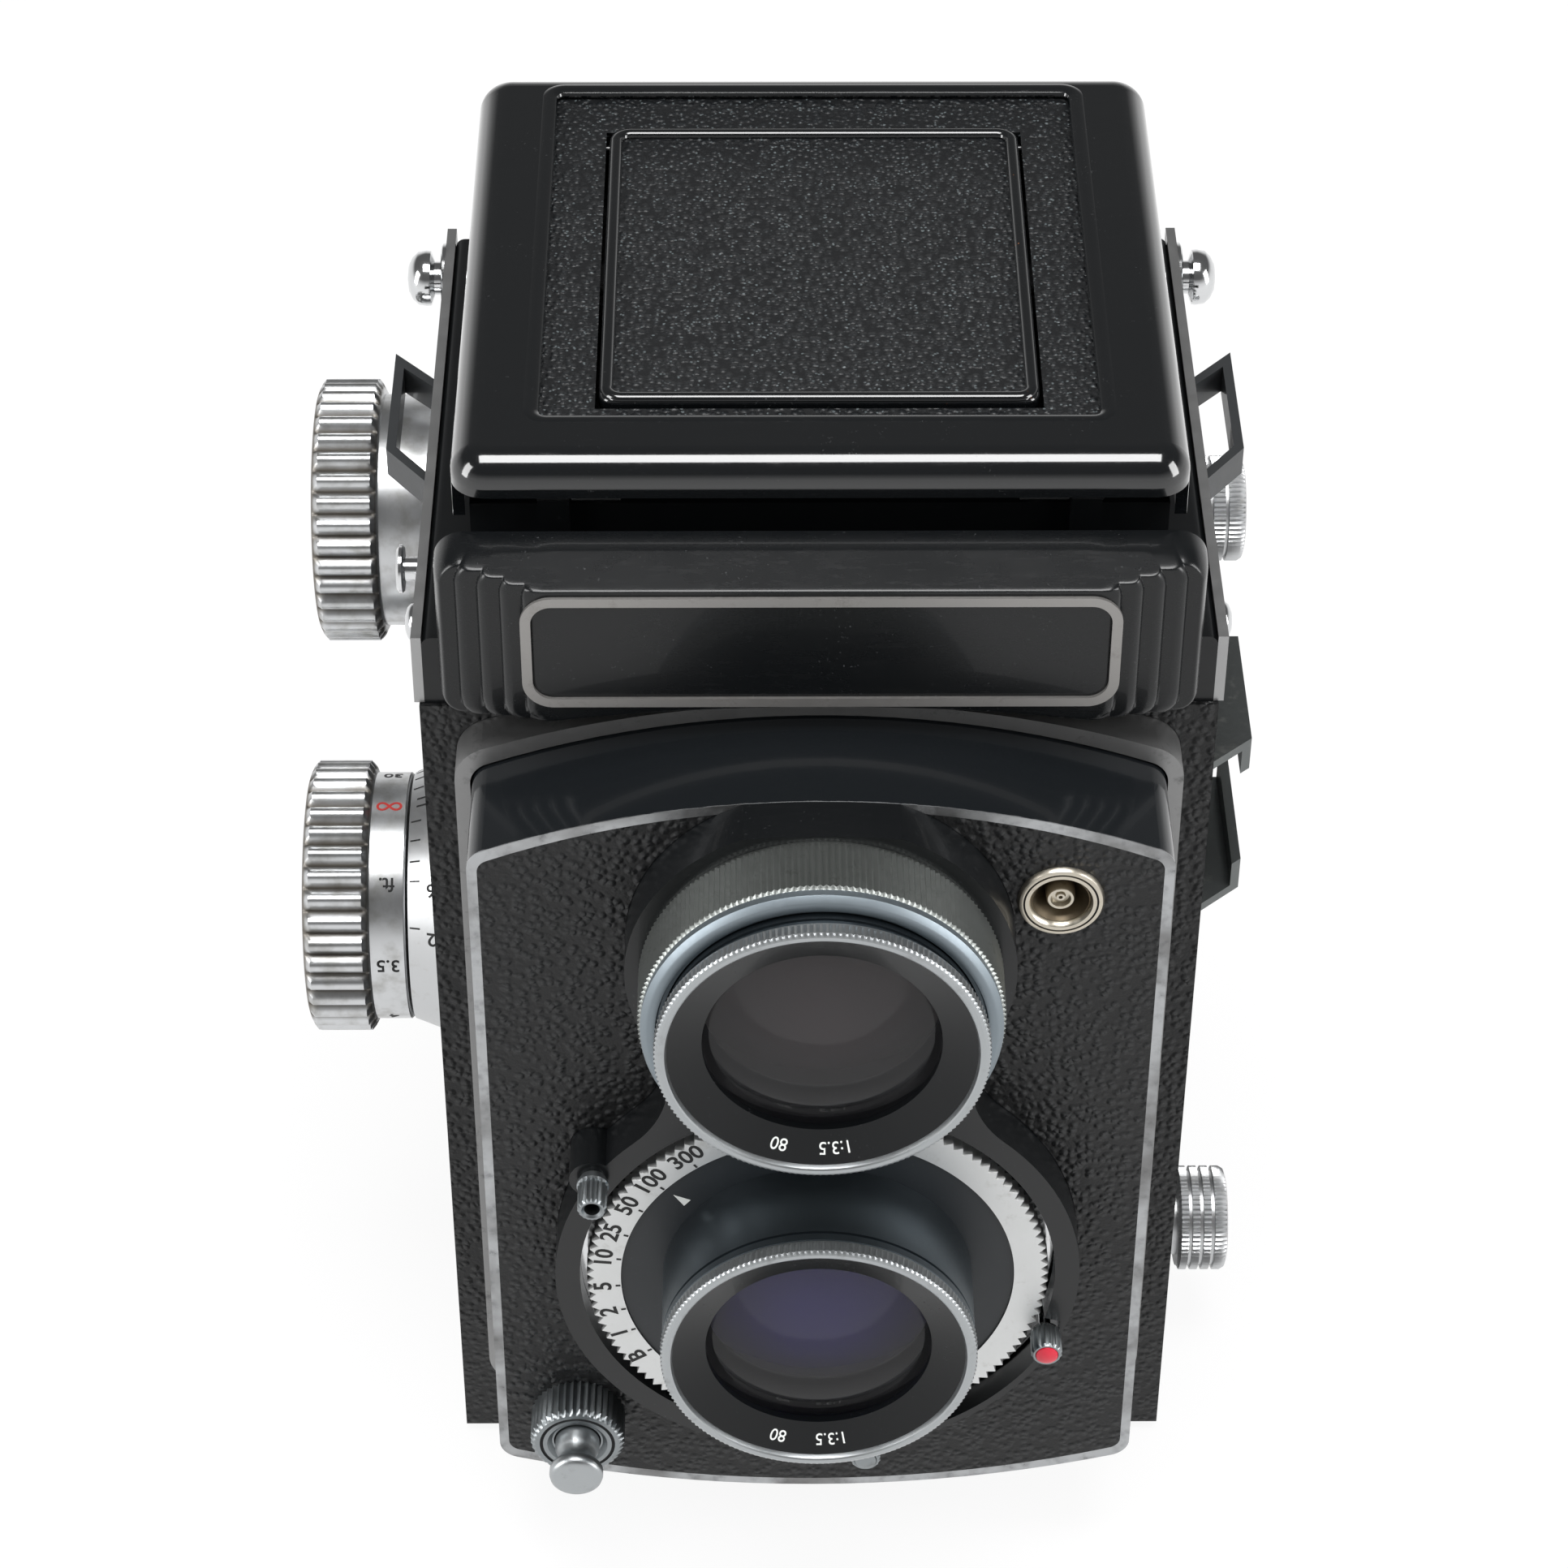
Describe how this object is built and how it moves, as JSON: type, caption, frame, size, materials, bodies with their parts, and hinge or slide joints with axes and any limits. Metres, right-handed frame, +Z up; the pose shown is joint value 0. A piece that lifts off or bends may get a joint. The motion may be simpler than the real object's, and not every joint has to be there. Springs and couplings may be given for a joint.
{
  "type": "twin lens reflex camera",
  "caption": "Twin lens reflex roll-film camera: box body, sliding lens board with two lenses, folding hood, focus and winding knobs, hinged back.",
  "frame": {"origin": "centre of the tripod socket's mouth, under the middle of the body", "axes": "+Z up, -Y towards the subject (lens side), +X towards the accessory shoe side"},
  "size_m": [0.1015, 0.1075, 0.1335],
  "materials": {
    "black_enamel": "glossy black enamel on metal",
    "leatherette": "fine pebbled black leatherette",
    "satin_metal": "satin bright metal",
    "chrome": "polished chrome",
    "blue_metal": "blue-grey anodised metal",
    "matt_black": "matt black inside surfaces",
    "taking_coating": "coated glass with a violet cast",
    "viewing_coating": "glass with a warm grey cast",
    "clear_glass": "clear glass",
    "mirror_glass": "silvered mirror",
    "spool_plastic": "black moulded spool",
    "nickel": "worn nickel"
  },
  "bodies": {
    "camera_body": {"body_shell": "black_enamel", "body_leather": "leatherette", "lens_collar": "satin_metal", "base_plate": "black_enamel", "tripod_bush": "chrome", "inner_walls": "matt_black", "dark_chamber": "matt_black", "mirror": "mirror_glass", "ground_glass": "clear_glass", "nameplate_housing": "black_enamel", "nameplate_frame": "satin_metal", "focus_scale": "satin_metal", "spool_fittings": "satin_metal", "hood_base": "black_enamel", "hood_pins": "nickel", "strap_rails": "black_enamel", "rail_studs": "chrome", "accessory_shoe": "satin_metal"},
    "film_roller": {"guide_roller": "chrome"},
    "lens_board": {"lens_board": "black_enamel", "board_leather": "leatherette", "shutter_housing": "black_enamel", "shutter_face": "matt_black", "shutter_case": "matt_black", "lens_barrels": "blue_metal", "lens_rims": "chrome", "lens_name_rings": "black_enamel", "taking_glass": "taking_coating", "viewing_glass": "viewing_coating", "viewing_ring": "blue_metal", "board_fittings": "nickel"},
    "speed_ring": {"speed_ring": "satin_metal"},
    "cocking_lever": {"cocking_lever": "chrome"},
    "aperture_lever": {"aperture_lever": "chrome"},
    "shutter_blade_1": {"shutter_blade_1": "blue_metal"},
    "shutter_blade_2": {"shutter_blade_2": "blue_metal"},
    "shutter_blade_3": {"shutter_blade_3": "blue_metal"},
    "release_button": {"release_button": "chrome"},
    "focus_knob": {"focus_knob": "satin_metal", "focus_shaft": "nickel"},
    "winding_knob": {"winding_knob": "satin_metal", "take_up_spool": "spool_plastic"},
    "feed_spool": {"feed_spool": "spool_plastic"},
    "upper_pull_knob": {"upper_pull_knob": "satin_metal"},
    "lower_pull_knob": {"lower_pull_knob": "satin_metal"},
    "hood_lid": {"hood_lid": "black_enamel", "lid_leather": "leatherette"},
    "finder_flap": {"finder_flap": "black_enamel", "flap_leather": "leatherette"},
    "left_leaf": {"left_leaf": "matt_black"},
    "right_leaf": {"right_leaf": "matt_black"},
    "rear_leaf": {"rear_leaf": "matt_black"},
    "magnifier": {"magnifier_frame": "matt_black", "magnifier_lens": "clear_glass"},
    "back_door": {"back_door": "black_enamel", "back_leather": "leatherette", "back_fittings": "nickel"},
    "pressure_plate": {"pressure_plate": "matt_black"},
    "window_cover": {"window_cover": "black_enamel"},
    "back_latch": {"back_latch": "chrome"}
  },
  "joints": [
    {"name": "focus_knob_turn", "type": "hinge", "parent": "camera_body", "child": "focus_knob", "pos_m": [0, -0.0105, 0.0587], "axis": [1, 0, 0], "range_deg": [0, 280]},
    {"name": "lens_board_slide", "type": "slide", "parent": "camera_body", "child": "lens_board", "axis": [0, -1, 0], "range_m": [0, 0.0065]},
    {"name": "speed_ring_turn", "type": "hinge", "parent": "lens_board", "child": "speed_ring", "pos_m": [0, -0.0572, 0.0488], "axis": [0, -1, 0], "range_deg": [-71, 12.7]},
    {"name": "cocking_lever_turn", "type": "hinge", "parent": "lens_board", "child": "cocking_lever", "pos_m": [0, -0.0543, 0.0488], "axis": [0, -1, 0], "range_deg": [-36, 0]},
    {"name": "aperture_lever_turn", "type": "hinge", "parent": "lens_board", "child": "aperture_lever", "pos_m": [0, -0.055, 0.0488], "axis": [0, -1, 0], "range_deg": [-28, 0]},
    {"name": "release_button_press", "type": "slide", "parent": "lens_board", "child": "release_button", "axis": [0, 1, 0], "range_m": [0, 0.0025], "stiffness_N_per_m": 150, "springref_m": -0.002},
    {"name": "shutter_blade_1_swing", "type": "hinge", "parent": "lens_board", "child": "shutter_blade_1", "pos_m": [-0.0127, -0.0473, 0.05769], "axis": [0, -1, 0], "range_deg": [0, 36]},
    {"name": "shutter_blade_2_swing", "type": "hinge", "parent": "lens_board", "child": "shutter_blade_2", "pos_m": [-0.00135, -0.047, 0.03336], "axis": [0, -1, 0], "range_deg": [0, 36]},
    {"name": "shutter_blade_3_swing", "type": "hinge", "parent": "lens_board", "child": "shutter_blade_3", "pos_m": [0.01405, -0.0467, 0.05535], "axis": [0, -1, 0], "range_deg": [0, 36]},
    {"name": "winding_knob_turn", "type": "hinge", "parent": "camera_body", "child": "winding_knob", "pos_m": [-0.04, 0.0185, 0.0893], "axis": [-1, 0, 0], "continuous": true},
    {"name": "feed_spool_turn", "type": "hinge", "parent": "camera_body", "child": "feed_spool", "pos_m": [0, -0.018, 0.0156], "axis": [1, 0, 0], "continuous": true},
    {"name": "guide_roller_turn", "type": "hinge", "parent": "camera_body", "child": "film_roller", "pos_m": [0, 0.0269, 0.0162], "axis": [1, 0, 0], "continuous": true},
    {"name": "upper_pull_knob_slide", "type": "slide", "parent": "camera_body", "child": "upper_pull_knob", "axis": [1, 0, 0], "range_m": [0, 0.005]},
    {"name": "lower_pull_knob_slide", "type": "slide", "parent": "camera_body", "child": "lower_pull_knob", "axis": [1, 0, 0], "range_m": [0, 0.005]},
    {"name": "hood_lid_open", "type": "hinge", "parent": "camera_body", "child": "hood_lid", "pos_m": [0, -0.03, 0.1286], "axis": [1, 0, 0], "range_deg": [0, 90]},
    {"name": "finder_flap_press", "type": "hinge", "parent": "hood_lid", "child": "finder_flap", "pos_m": [0, 0.025, 0.1314], "axis": [1, 0, 0], "range_deg": [0, 2.5]},
    {"name": "left_leaf_rise", "type": "hinge", "parent": "camera_body", "child": "left_leaf", "pos_m": [-0.031, 0.0005, 0.119], "axis": [0, -1, 0], "range_deg": [0, 90]},
    {"name": "right_leaf_rise", "type": "hinge", "parent": "camera_body", "child": "right_leaf", "pos_m": [0.031, 0.0005, 0.1207], "axis": [0, 1, 0], "range_deg": [0, 90]},
    {"name": "rear_leaf_rise", "type": "hinge", "parent": "camera_body", "child": "rear_leaf", "pos_m": [0, 0.0309, 0.1224], "axis": [-1, 0, 0], "range_deg": [0, 90]},
    {"name": "magnifier_swing", "type": "hinge", "parent": "hood_lid", "child": "magnifier", "pos_m": [0, 0.004, 0.1283], "axis": [1, 0, 0], "range_deg": [-90, 0]},
    {"name": "back_door_open", "type": "hinge", "parent": "camera_body", "child": "back_door", "pos_m": [0, 0.0364, 0.1114], "axis": [1, 0, 0], "range_deg": [0, 90]},
    {"name": "pressure_plate_spring", "type": "slide", "parent": "back_door", "child": "pressure_plate", "axis": [0, 1, 0], "range_m": [0, 0.0012], "stiffness_N_per_m": 400, "springref_m": -0.001},
    {"name": "window_cover_slide", "type": "slide", "parent": "back_door", "child": "window_cover", "axis": [1, 0, 0], "range_m": [0, 0.012]},
    {"name": "back_latch_slide", "type": "slide", "parent": "back_door", "child": "back_latch", "axis": [0, 0, -1], "range_m": [0, 0.0015]}
  ],
  "couplings": [
    {"joint": "focus_knob_turn", "follows": "lens_board_slide", "rad_per_m": 751.83},
    {"joint": "shutter_blade_1_swing", "follows": "release_button_press", "rad_per_m": 251.33},
    {"joint": "shutter_blade_2_swing", "follows": "release_button_press", "rad_per_m": 251.33},
    {"joint": "shutter_blade_3_swing", "follows": "release_button_press", "rad_per_m": 251.33},
    {"joint": "left_leaf_rise", "follows": "hood_lid_open", "ratio": 1},
    {"joint": "right_leaf_rise", "follows": "hood_lid_open", "ratio": 1},
    {"joint": "rear_leaf_rise", "follows": "hood_lid_open", "ratio": 1},
    {"joint": "magnifier_swing", "follows": "hood_lid_open", "ratio": -1}
  ]
}
